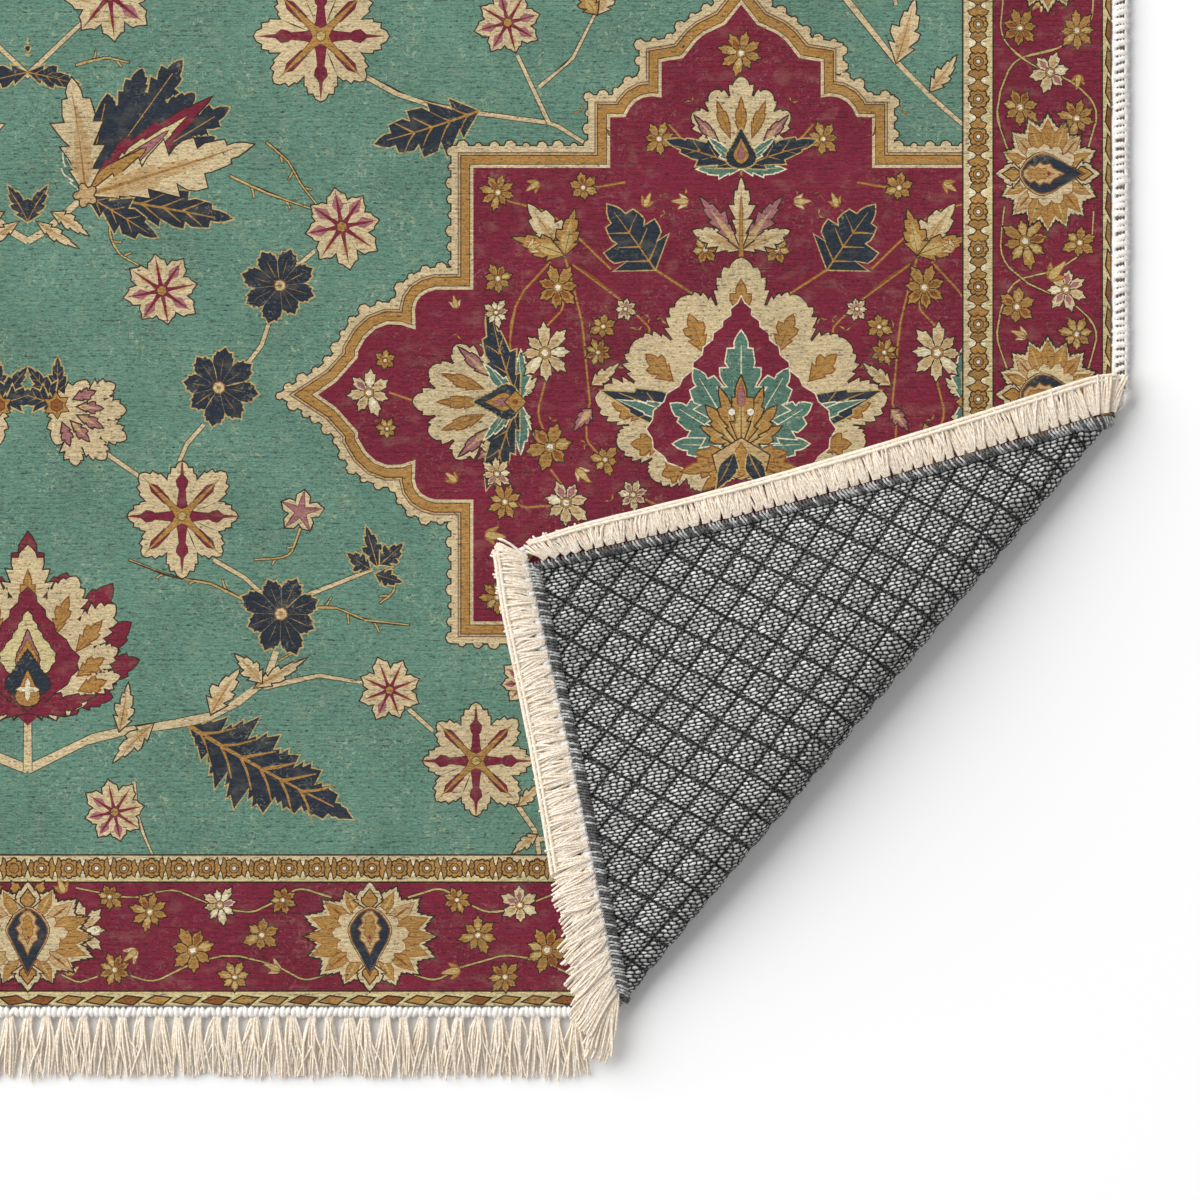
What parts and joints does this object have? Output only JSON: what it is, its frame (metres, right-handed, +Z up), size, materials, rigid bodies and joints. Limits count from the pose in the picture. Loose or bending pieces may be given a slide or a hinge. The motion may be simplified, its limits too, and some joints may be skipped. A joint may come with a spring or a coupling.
{
  "type": "washable area rug",
  "caption": "Flat printed rug with whipped sides and fringed ends, one corner rolled over onto the face so that its quilted backing shows.",
  "frame": {"origin": "middle of the rug's underside, on the floor", "axes": "+X across the rug towards the turned corner's side, +Y along the rug towards its far end, +Z up"},
  "size_m": [0.9144, 1.5738, 0.028],
  "materials": {
    "printed_face": "low ribbed chenille with a printed pattern in teal, burgundy, navy, gold and cream",
    "quilted_backing": "grey heather knit quilted in diamonds, with an overlocked rim",
    "binding_yarn": "soft white cotton yarn, whipped over the edge",
    "fringe_yarn": "soft cream cotton yarn, lightly twisted"
  },
  "bodies": {
    "root": {"face_cloth": "printed_face", "backing_cloth": "quilted_backing", "side_binding_left": "binding_yarn", "side_binding_right": "binding_yarn", "end_fringe_far": "fringe_yarn", "end_fringe_near": "fringe_yarn"}
  },
  "joints": []
}
